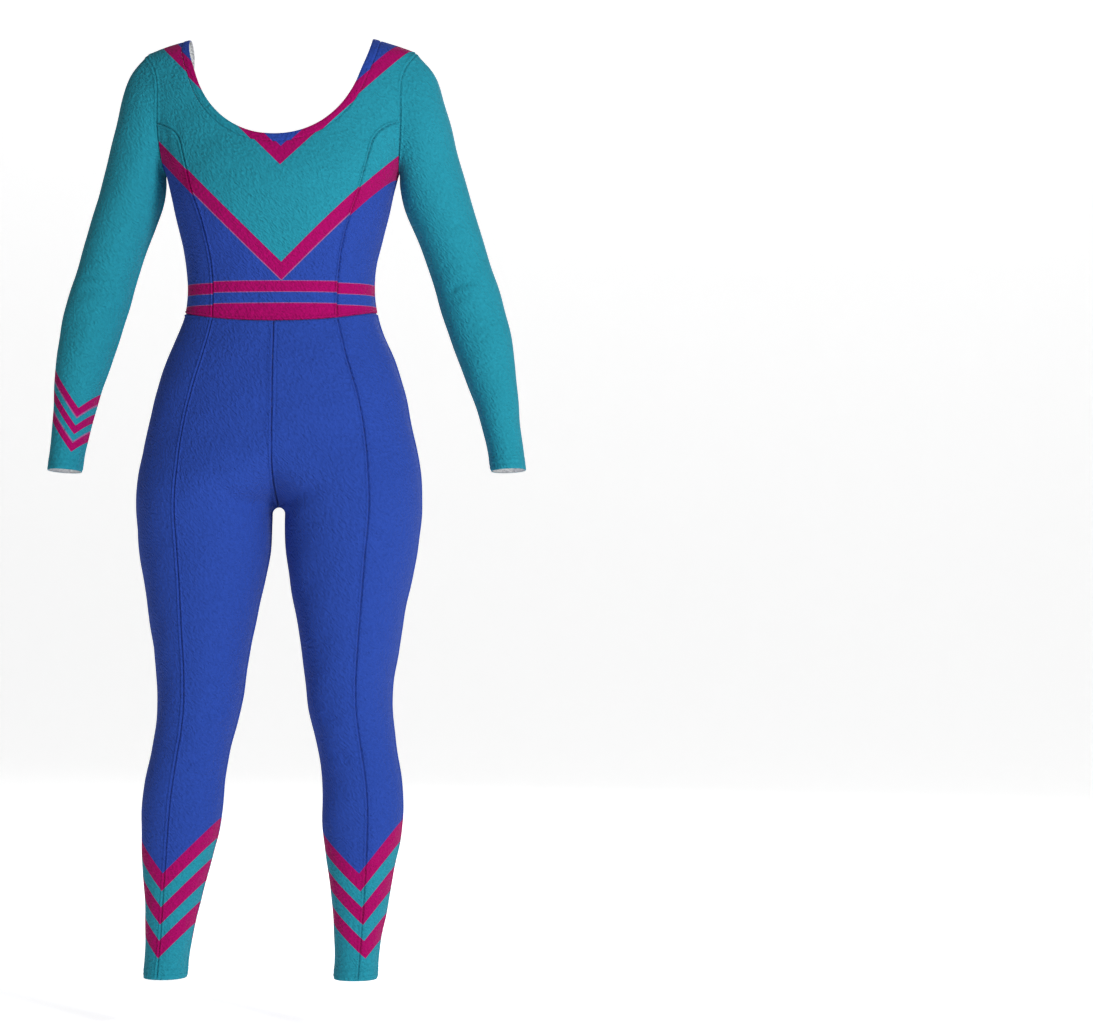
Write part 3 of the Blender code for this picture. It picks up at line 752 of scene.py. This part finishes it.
def distance_to(points, line):
    """Distance from every point of a grid to the nearest point of a line, read at short steps."""
    at = run(line)
    fine = np.linspace(0, at[-1], int(at[-1] / LINE_STEP) + 2)
    dense = np.stack([np.interp(fine, at, line[:, axis]) for axis in range(3)], axis=-1)
    flat = points.reshape(-1, 3)
    parts = np.array_split(flat, 1 + len(flat) * len(dense) // PAIRS_AT_ONCE)
    square = (dense**2).sum(axis=1)
    near = [((part**2).sum(axis=1)[:, None] + square - 2 * part @ dense.T).min(axis=1) for part in parts]
    return np.sqrt(np.clip(np.concatenate(near), 0, None)).reshape(points.shape[:-1])


def relief_of(distance, shapes):
    """Ridges and dents along a line: a height times e to minus the square of the share of a width."""
    return sum(height * np.exp(-(((distance - at) / width) ** 2)) for height, at, width in shapes)


def hem_relief(distance):
    """The folded hem stands proud, with a dent under each stitch row and a round edge."""
    proud = HEM_PROUD * (1 - ease((distance - HEM_WIDTH) / HEM_FADE))
    return proud + relief_of(distance, HEM)


def hem_clear(distance):
    """0 on a hem's edge, up to 1 where the seams that run to it have their full relief."""
    return ease((distance - HEM_SEAM_START) / HEM_SEAM_FADE)


def soft_waves(points):
    """Faint, broad unevenness of worn knit: a sum of slow waves that run in different directions."""
    x, y, z = np.moveaxis(points, -1, 0)
    return sum(size * np.sin(a * x + b * y + c * z + shift) for size, a, b, c, shift in WAVES)


def creases(points):
    """Soft troughs with a low ridge beside each. A mark runs between two points seen from the front,
    on the front or back of the suit, and fades towards its ends."""
    x, y, z = np.moveaxis(points, -1, 0)
    on_arm = ease((np.abs(x) - ARM_X) / ARM_X_FADE) * (z > ARM_END_Z)
    middle = column(MIDDLE, "y", np.clip(z, HEM_Z, 0.0)) + ARM_BACK * on_arm
    rise, place, spread = CREASE_RIDGE
    height = np.zeros(x.shape)
    for side, x1, z1, x2, z2, width, depth in CREASES:
        facing = ease(0.5 + (middle - y) * side / CREASE_TURN)
        along_x, along_z = x2 - x1, z2 - z1
        length = np.hypot(along_x, along_z)
        share = ((x - x1) * along_x + (z - z1) * along_z) / length**2
        bow = CREASE_BOW * length * np.sin(np.pi * np.clip(share, 0, 1))
        off = ((x - x1) * along_z - (z - z1) * along_x) / length + bow
        fade = 1.0
        for run_in, (reach, already) in ((share, CREASE_START), (1 - share, CREASE_END)):
            fade = fade * ease(run_in / reach + already)
        shapes = (-1.0, 0.0, width), (rise, place * width, spread * width)
        height += depth * facing * fade * relief_of(off, shapes)
    return height


def linked_object(name, data):
    item = bpy.data.objects.new(name, data)
    bpy.context.scene.collection.objects.link(item)
    return item


def smooth_object(name, vertices, quads, materials):
    """One smooth object from lists of arrays."""
    mesh = bpy.data.meshes.new(name)
    mesh.from_pydata(np.concatenate(vertices).tolist(), [], np.concatenate(quads).tolist())
    mesh.shade_smooth()
    for material in materials:
        mesh.materials.append(material)
    return linked_object(name, mesh)


def mesh_object(name, grids, materials, closed_round=False, wall=WALL):
    """One object from grids of points and whether each turns over, with its wall inside them."""
    vertices, quads, first = [], [], 0
    for points, turns_over in grids:
        rows, columns = points.shape[:2]
        index = first + np.arange(rows * columns).reshape(rows, columns)
        if closed_round:
            index = np.concatenate([index, index[:, :1]], axis=1)
        faces = np.stack([index[:-1, :-1], index[:-1, 1:], index[1:, 1:], index[1:, :-1]], axis=-1)
        faces = faces.reshape(-1, 4)
        quads.append(faces[:, ::-1] if turns_over else faces)
        vertices.append(points.reshape(-1, 3))
        first += rows * columns
    piece = smooth_object(name, vertices, quads, materials)
    if wall:
        weld = piece.modifiers.new("Weld", "WELD")
        weld.merge_threshold = WELD_DISTANCE
        shell = piece.modifiers.new("Wall", "SOLIDIFY")
        shell.thickness = wall
        shell.offset = -1.0
        shell.material_offset = 1
    return piece


def thread_object(name, paths, material):
    """Stitches along paths of points and their normals: each is a short bent tube of four sides that
    rises in its middle and dips into the cloth at both ends."""
    vertices, quads, first = [], [], 0
    turns = np.arange(4) * np.pi / 2 + np.pi / 4
    for points, normal in paths:
        at = run(points)
        starts = np.arange(STITCH_START, at[-1] - STITCH_LENGTH, STITCH_PITCH)
        where = starts[:, None] + STITCH_SHARES * STITCH_LENGTH
        line = np.stack([np.interp(where, at, points[:, axis]) for axis in range(3)], axis=-1)
        up = np.stack([np.interp(where, at, normal[:, axis]) for axis in range(3)], axis=-1)
        ahead = line[:, -1:] - line[:, :1]
        ahead = ahead / np.linalg.norm(ahead, axis=-1, keepdims=True)
        side = np.cross(up, ahead)
        line = line + up * (STITCH_RISES[None, :, None] + THREAD_LIFT)
        ring = np.cos(turns)[:, None] * side[:, :, None] + np.sin(turns)[:, None] * up[:, :, None]
        tube = line[:, :, None] + ring * THREAD_RADIUS
        index = first + np.arange(tube[..., 0].size).reshape(tube.shape[:3])
        turned = np.roll(index, -1, axis=2)
        walls = np.stack([index[:, :-1], turned[:, :-1], turned[:, 1:], index[:, 1:]], axis=-1)
        quads += [walls.reshape(-1, 4), index[:, 0, ::-1], index[:, -1]]
        vertices.append(tube.reshape(-1, 3))
        first += index.size
    return smooth_object(name, vertices, quads, [material])


def band_relief(distance):
    """The folded neck band stands proud of the bodice, dented under each stitch row, its edge round."""
    proud = BAND_STEP * ease(distance / BAND_STEP_WIDTH) - BAND_SUNK
    edge = -BAND_EDGE * ease((distance - BAND_EDGE_AT) / BAND_EDGE_WIDTH)
    return (proud + relief_of(distance, BAND_DENTS) + edge)[:, None]


def dressed(points, relief, turns_over, calm=1.0, closed_round=False, swing=0.0):
    """The worn surface and its normals: relief, waves and creases are added along the normals. On the
    middle line the normal has no x, so that both sides meet."""
    middle = np.abs(points[..., :1]) < 1e-7
    points = swayed(points, swing)
    normal = outward(points, turns_over, closed_round)
    normal = np.where(middle, normal * (0.0, 1.0, 1.0), normal)
    normal /= np.linalg.norm(normal, axis=-1, keepdims=True)
    height = relief + calm * (soft_waves(points) + creases(points))
    return points + normal * height[..., None], normal


def nearest(points, lines):
    """Distance from every point of a grid to the nearest of several lines."""
    return np.minimum.reduce([distance_to(points, line) for line in lines])


def add_cloth(name, halves, print_material, flat, area, stitch_lines=(), closed_round=False):
    """One cut piece from worn grids, each with its normals and whether it turns over, and its stitches.
    A stitch line is picked from a grid by a function."""
    grids = [(points, turns_over) for points, normal, turns_over in halves]
    piece = mesh_object(name, grids, [print_material, INSIDE], closed_round)
    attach(piece, "root")
    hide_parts(name)
    paths = [(pick(points), pick(normal)) for points, normal, _ in halves for pick in stitch_lines]
    if paths:
        thread = thread_object(name + "_stitches", paths, print_material)
        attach(thread, "root")


def add_pair(name, points, relief, turns_over, calm=1.0, closed_round=False, swing=0.0, **cloth):
    """The left piece and its mirror image, each in its own print. Their creases and waves differ."""
    for side, mirror, turned in (("left", 1.0, turns_over), ("right", MIRROR, not turns_over)):
        worn, normal = dressed(points * mirror, relief, turned, calm, closed_round, swing)
        piece, half = f"{name}_{side}", [(worn, normal, turned)]
        add_cloth(piece, half, PRINTS[piece], closed_round=closed_round, **cloth)


def bodice_relief(points, split, seams):
    """Relief of the seams, which fades out at the armhole, and the ridge round it. Also how far the
    waves and creases are let in. The armhole is the last column from the split on."""
    arm = distance_to(points, points[split - 1 :, -1])
    relief = relief_of(nearest(points, seams), SEAM) * ease(arm / ARM_SEAM_FADE)
    return relief + relief_of(arm, ARM_SEAM), ease(arm / ARM_CALM)


def add_front_centre():
    """Both halves in one, mirrored at the centre line, where x is 0."""
    grid, rows = front_centre_half()
    points = surface(grid)
    points[rows <= CENTRE_FRONT_ROWS, 0, 0] = 0.0
    split = np.searchsorted(rows, PRINCESS_ROWS + NEAR)
    low = np.searchsorted(rows, CENTRE_FRONT_ROWS)
    relief, calm = bodice_relief(points, split, [points[:split, -1], points[0], points[-1]])
    relief += relief_of(distance_to(points, points[low:, 0]), NECK_SEAM)
    halves = []
    for mirror, turned in ((1.0, False), (MIRROR, True)):
        worn, normal = dressed(points * mirror, relief, turned, calm)
        halves.append((worn, normal, turned))
    lines = (lambda grid: grid[:split, -1 - STITCH_COLUMN],)
    add_cloth("front_centre", halves, PRINTS["centre"], (0.36, 0.39), 0.0695, lines)


def add_front_sides():
    """From the princess seam to the side seam, topstitched beside the princess seam."""
    grid, rows = front_side_half()
    points = surface(grid)
    split = np.searchsorted(rows, SIDE_ROWS + NEAR)
    relief, calm = bodice_relief(points, split, [points[:, 0], points[:split, -1], points[0]])
    lines = (lambda grid: grid[: split - SIDE_ROWS_FREE, STITCH_COLUMN],)
    add_pair("front_side", points, relief, False, calm,
             flat=(0.095, 0.27), area=0.0208, stitch_lines=lines)


def add_backs():
    """From the centre seam, where x is 0, to the side seam, topstitched beside both."""
    grid, rows = back_half()
    points = surface(grid)
    points[rows <= CENTRE_BACK_ROWS, 0, 0] = 0.0
    split = np.searchsorted(rows, SIDE_ROWS + NEAR)
    low = np.searchsorted(rows, CENTRE_BACK_ROWS + NEAR)
    seams = [points[:low, 0], points[:split, -1], points[0], points[-1]]
    relief, calm = bodice_relief(points, split, seams)
    relief += relief_of(distance_to(points, points[low:, 0]), NECK_SEAM)
    lines = (
        lambda grid: grid[: low - BACK_ROWS_FREE, STITCH_COLUMN],
        lambda grid: grid[:split, -1 - STITCH_COLUMN],
    )
    add_pair("back", points, relief, True, calm,
             flat=(0.19, 0.39), area=0.0446, stitch_lines=lines)


def add_legs():
    """Rows run down from the waist, so the front pieces turn over and the back ones do not."""
    for name, inner, outer, flat, area in (
        ("leg_front", "front_centre", "princess", (0.17, 0.92), 0.0985),
        ("leg_side", "princess", "side", (0.11, 0.93), 0.077),
        ("leg_back", "back_centre", "side", (0.29, 0.95), 0.185),
    ):
        points = surface(leg_half(inner, outer))
        seams = nearest(points, [points[:, 0], points[:, -1], points[0]])
        hem = distance_to(points, points[-1])
        relief = relief_of(seams, SEAM) * hem_clear(hem) + hem_relief(hem)
        hems = [np.abs(points[:, 0, 2] - HEM_Z - row).argmin() for row in HEM_STITCH_ROWS]
        lines = [lambda grid, row=row: grid[row] for row in (STITCH_COLUMN, *hems)]
        lines.append(lambda grid: grid[STITCH_COLUMN:, STITCH_COLUMN])
        if name == "leg_back":
            lines.append(lambda grid: grid[STITCH_COLUMN:, -1 - STITCH_COLUMN])
        add_pair(name, points, relief, name != "leg_back", flat=flat, area=area, stitch_lines=lines)


def ring_pick(row):
    """Picks one closed row of a grid."""
    return lambda grid: np.concatenate([grid[row], grid[row, :1]])


def add_sleeves():
    """Closed rings down the sleeve, with its underarm seam and stitches at the armhole and cuff."""
    points, turn = sleeve_points()
    under = np.abs(turn[0] - np.pi).argmin()
    seam = distance_to(points, points[:, under])
    arm = distance_to(points, ring_pick(0)(points))
    cuff = distance_to(points, ring_pick(-1)(points))
    relief = relief_of(seam, SEAM) * ease(arm / UNDERARM_SEAM_FADE) * hem_clear(cuff)
    relief += relief_of(arm, ARM_SEAM) + hem_relief(cuff)
    lines = [ring_pick(np.abs(cuff[:, 0] - row).argmin()) for row in HEM_STITCH_ROWS]
    lines.append(ring_pick(np.abs(arm[:, 0] - STITCH_AT).argmin()))
    add_pair("sleeve", points, relief, False, ease(arm / ARM_CALM), True, SWING,
             flat=(0.36, 0.62), area=0.122, stitch_lines=lines)


def add_neck_band():
    """Closed rings round the neck, stitched along two of them."""
    worn, normal = dressed(neck_band_points(), band_relief(BAND_LINES), False, closed_round=True)
    lines = [ring_pick(np.abs(BAND_LINES - line).argmin()) for line in BAND_STITCH_LINES]
    add_cloth("neck_band", [(worn, normal, False)], PRINTS["band"], (0.011, 1.21), 0.0133, lines, True)


class Shader:
    """Adds nodes to one material and joins them up."""

    def __init__(self, name):
        self.material = bpy.data.materials.new(name)
        self.material.use_nodes = True
        self.nodes = self.material.node_tree.nodes
        self.links = self.material.node_tree.links
        self.nodes.clear()

    def add(self, kind, inputs, output=0, **settings):
        """A node with its settings and inputs, by name or number: a socket is linked, a value is set."""
        node = self.nodes.new("ShaderNode" + kind)
        for key, value in settings.items():
            setattr(node, key, value)
        for key, value in inputs.items():
            if isinstance(value, bpy.types.NodeSocket):
                self.links.new(value, node.inputs[key])
            else:
                node.inputs[key].default_value = value
        return node.outputs[output]

    def math(self, operation, a, b=0.0, c=0.0):
        return self.add("Math", {0: a, 1: b, 2: c}, operation=operation)

    def mix(self, share, a, b):
        """Colour a where the share is 0 and b where it is 1: a Mix node's colours are sockets 6 and 7."""
        return self.add("Mix", {0: share, 6: a, 7: b}, 2, data_type="RGBA")

    def bands(self, value, rows):
        """Flat colours by value: each row gives where its colour starts, and a pale hairline parts two."""
        low, high = rows[0][0], rows[-1][0] + TOP_BAND
        stops = [rows[0]]
        for start, colour in rows[1:]:
            stops += [(start - HAIRLINE / 2, PALE_EDGE), (start + HAIRLINE / 2, colour)]
        share = self.math("DIVIDE", self.math("SUBTRACT", value, low), high - low)
        colours = self.add("ValToRGB", {0: share})
        ramp = colours.node.color_ramp
        ramp.interpolation = "CONSTANT"
        elements = ramp.elements
        while len(elements) < len(stops):
            elements.new(0.5)
        for element, (start, colour) in zip(elements, stops):
            element.position = (start - low) / (high - low)
            element.color = colour
        return colours

    def knit(self, colour):
        """Stretch knit: a soft crinkle a few millimetres wide, a finer grain, and painted shade, darker in
        the crinkle's hollows.
        """
        place = self.add("TexCoord", {}, 3)
        bias = {"Vector": place, "Rotation": CRINKLE_TURN, "Scale": CRINKLE_STRETCH}
        turned = self.add("Mapping", bias, vector_type="TEXTURE")
        crinkle = self.add("TexNoise", {"Vector": turned, **CRINKLE})
        grain = self.add("TexNoise", {"Vector": place, **GRAIN})
        rough = self.math("MULTIPLY_ADD", grain, GRAIN_SHARE, crinkle)
        bump = self.add("Bump", {**KNIT_BUMP, "Height": rough})
        # Painted shade: the colour follows the crinkle's height, darker in its hollows and lighter on its
        # crests.
        crinkle_shade = self.math("MULTIPLY_ADD", crinkle, CRINKLE_SHADE_RANGE, CRINKLE_SHADE_LOW)
        shaded = self.add("HueSaturation", {"Value": crinkle_shade, "Color": colour})
        self.output(self.add("BsdfPrincipled", {"Base Color": shaded, "Normal": bump, **KNIT_FINISH}))
        return self.material

    def output(self, shader):
        node = self.nodes.new("ShaderNodeOutputMaterial")
        self.links.new(shader, node.inputs["Surface"])


def v_distance(shader, place, tip_x, tip_z, slope, lean=0.0):
    """Height above a V with its tip at this point, measured along the V's own axis, which leans."""
    x, z = place
    across = shader.math("SUBTRACT", x, tip_x)
    up = shader.math("SUBTRACT", z, tip_z)
    cosine, sine = float(np.cos(lean)), float(np.sin(lean))
    turned = shader.math("MULTIPLY_ADD", across, cosine, shader.math("MULTIPLY", up, sine))
    height = shader.math("MULTIPLY_ADD", up, cosine, shader.math("MULTIPLY", across, -sine))
    return shader.math("MULTIPLY_ADD", shader.math("ABSOLUTE", turned), -slope, height)


def place_of(shader):
    """The sockets of x, y and z in the object's own coordinates."""
    return shader.add("SeparateXYZ", {0: shader.add("TexCoord", {}, 3)}).node.outputs


def bodice_colour(shader, tip_x, slope, arm_low, arm_high, stripes, lower=0.0):
    """A V over the chest or back, another at the neck, and level stripes above the waist. The whole
    print can lie lower than on the bodice."""
    x, _, z = place_of(shader)
    z = shader.math("ADD", z, lower)
    height = v_distance(shader, (x, z), tip_x, 0.0, slope)
    neck_low, neck_high = NECK_V
    chest = [(PRINT_LOW, BLUE), (arm_low, MAGENTA), (arm_high, TEAL), (neck_low, MAGENTA), (neck_high, BLUE)]
    over = shader.bands(height, chest)
    first, second, third = stripes
    under = shader.bands(z, [(STRIPES_LOW, MAGENTA), (third, BLUE), (second, MAGENTA), (first, BLUE)])
    return shader.mix(shader.math("GREATER_THAN", height, arm_low - HAIRLINE / 2), under, over)


def bodice_print(name, *numbers):
    shader = Shader(name)
    return shader.knit(bodice_colour(shader, *numbers))


def band_print(name):
    """The neck band carries the front's print before the shoulders and the back's behind them, each a
    little lower than on the bodice, since the band is cut from its own stretch of cloth."""
    shader = Shader(name)
    front = bodice_colour(shader, *BODICE_PRINTS["centre"], NECK_BAND_LOWER)
    back = bodice_colour(shader, *BODICE_PRINTS["back_right"], NECK_BAND_LOWER)
    behind = shader.math("GREATER_THAN", place_of(shader)[1], SHOULDER_Y)
    return shader.knit(shader.mix(behind, front, back))


def chevron_print(name, above, tip_x, tip_z, slope, lean, thick, pitch):
    """Three V stripes under each other, with one colour above them and teal below and between."""
    shader = Shader(name)
    x, _, z = place_of(shader)
    rows = [(PRINT_LOW, TEAL)]
    for k in (2, 1, 0):
        rows += [(-k * pitch - thick, MAGENTA), (-k * pitch, TEAL)]
    rows[-1] = (0.0, above)
    return shader.knit(shader.bands(v_distance(shader, (x, z), tip_x, tip_z, slope, lean), rows))


def plain_knit(name, colour):
    return Shader(name).knit(colour)


def paper_material():
    """White paper that glows a little, so that its shadows stay soft and pale."""
    shader = Shader("paper")
    finish = {"Base Color": PAPER, "Roughness": PAPER_ROUGHNESS}
    glow = {"Emission Color": PAPER, "Emission Strength": PAPER_GLOW}
    shader.output(shader.add("BsdfPrincipled", {**finish, **glow}))
    return shader.material


def add_backdrop():
    """A pale floor that sweeps up into a backdrop through a quarter circle."""
    turn = np.linspace(0, np.pi / 2, BACKDROP_LINES)
    bend_y = BACKDROP_Y - BACKDROP_RADIUS + BACKDROP_RADIUS * np.sin(turn)
    bend_z = FLOOR_Z + BACKDROP_RADIUS - BACKDROP_RADIUS * np.cos(turn)
    y = np.concatenate([[FLOOR_START_Y], bend_y, [BACKDROP_Y]])
    z = np.concatenate([[FLOOR_Z], bend_z, [BACKDROP_TOP_Z]])
    x = np.array([-BACKDROP_HALF_WIDTH, BACKDROP_HALF_WIDTH])
    points = np.stack(np.broadcast_arrays(x[None, :], y[:, None], z[:, None]), axis=-1)
    backdrop = mesh_object("backdrop", [(points, False)], [paper_material()], wall=0)


def add_light(name, place, power):
    """A round soft light that faces the suit."""
    lamp = bpy.data.lights.new(name, "AREA")
    lamp.shape = "DISK"
    lamp.size = LIGHT_SIZE
    lamp.energy = power
    light = linked_object(name, lamp)
    light.location = place
    towards = Vector(LIGHT_TARGET) - Vector(place)
    light.rotation_euler = towards.to_track_quat("-Z", "Y").to_euler()


def add_world():
    """Near white to the camera, and dimmer as light."""
    world = bpy.data.worlds.new("studio")
    bpy.context.scene.world = world
    world.use_nodes = True
    nodes, links = world.node_tree.nodes, world.node_tree.links
    nodes.clear()
    mixed = nodes.new("ShaderNodeMixShader")
    links.new(nodes.new("ShaderNodeLightPath").outputs["Is Camera Ray"], mixed.inputs[0])
    for socket, strength in ((1, WORLD_LIGHT), (2, 1.0)):
        sky = nodes.new("ShaderNodeBackground")
        sky.inputs[0].default_value = (1.0, 1.0, 1.0, 1.0)
        sky.inputs[1].default_value = strength
        links.new(sky.outputs[0], mixed.inputs[socket])
    links.new(mixed.outputs[0], nodes.new("ShaderNodeOutputWorld").inputs[0])


def add_camera():
    lens = bpy.data.cameras.new("camera")
    lens.lens = CAMERA_LENS
    lens.sensor_width = CAMERA_SENSOR
    lens.dof.use_dof = False
    camera = linked_object("camera", lens)
    camera.location = CAMERA_PLACE
    camera.rotation_euler = (np.pi / 2, 0.0, CAMERA_TURN)
    bpy.context.scene.camera = camera


INSIDE = plain_knit("inside_of_the_knit", PALE_INSIDE)
PRINTS = {name: bodice_print("print_" + name, *numbers) for name, numbers in BODICE_PRINTS.items()}
PRINTS["band"] = band_print("print_band")
for name, *numbers in CHEVRON_PRINTS:
    PRINTS[name] = chevron_print("print_" + name, *numbers)
PRINTS["sleeve_left"] = plain_knit("print_sleeve_left", TEAL)
for side in ("left", "right"):
    PRINTS["front_side_" + side] = PRINTS["side"]
    PRINTS["leg_side_" + side] = PRINTS["leg_front_" + side]

add_front_centre()
add_front_sides()
add_backs()
add_legs()
add_sleeves()
add_neck_band()
add_backdrop()
for name, (place, power) in LIGHTS.items():
    add_light(name, place, power)
add_world()
add_camera()
bpy.context.scene.view_settings.view_transform = "Standard"
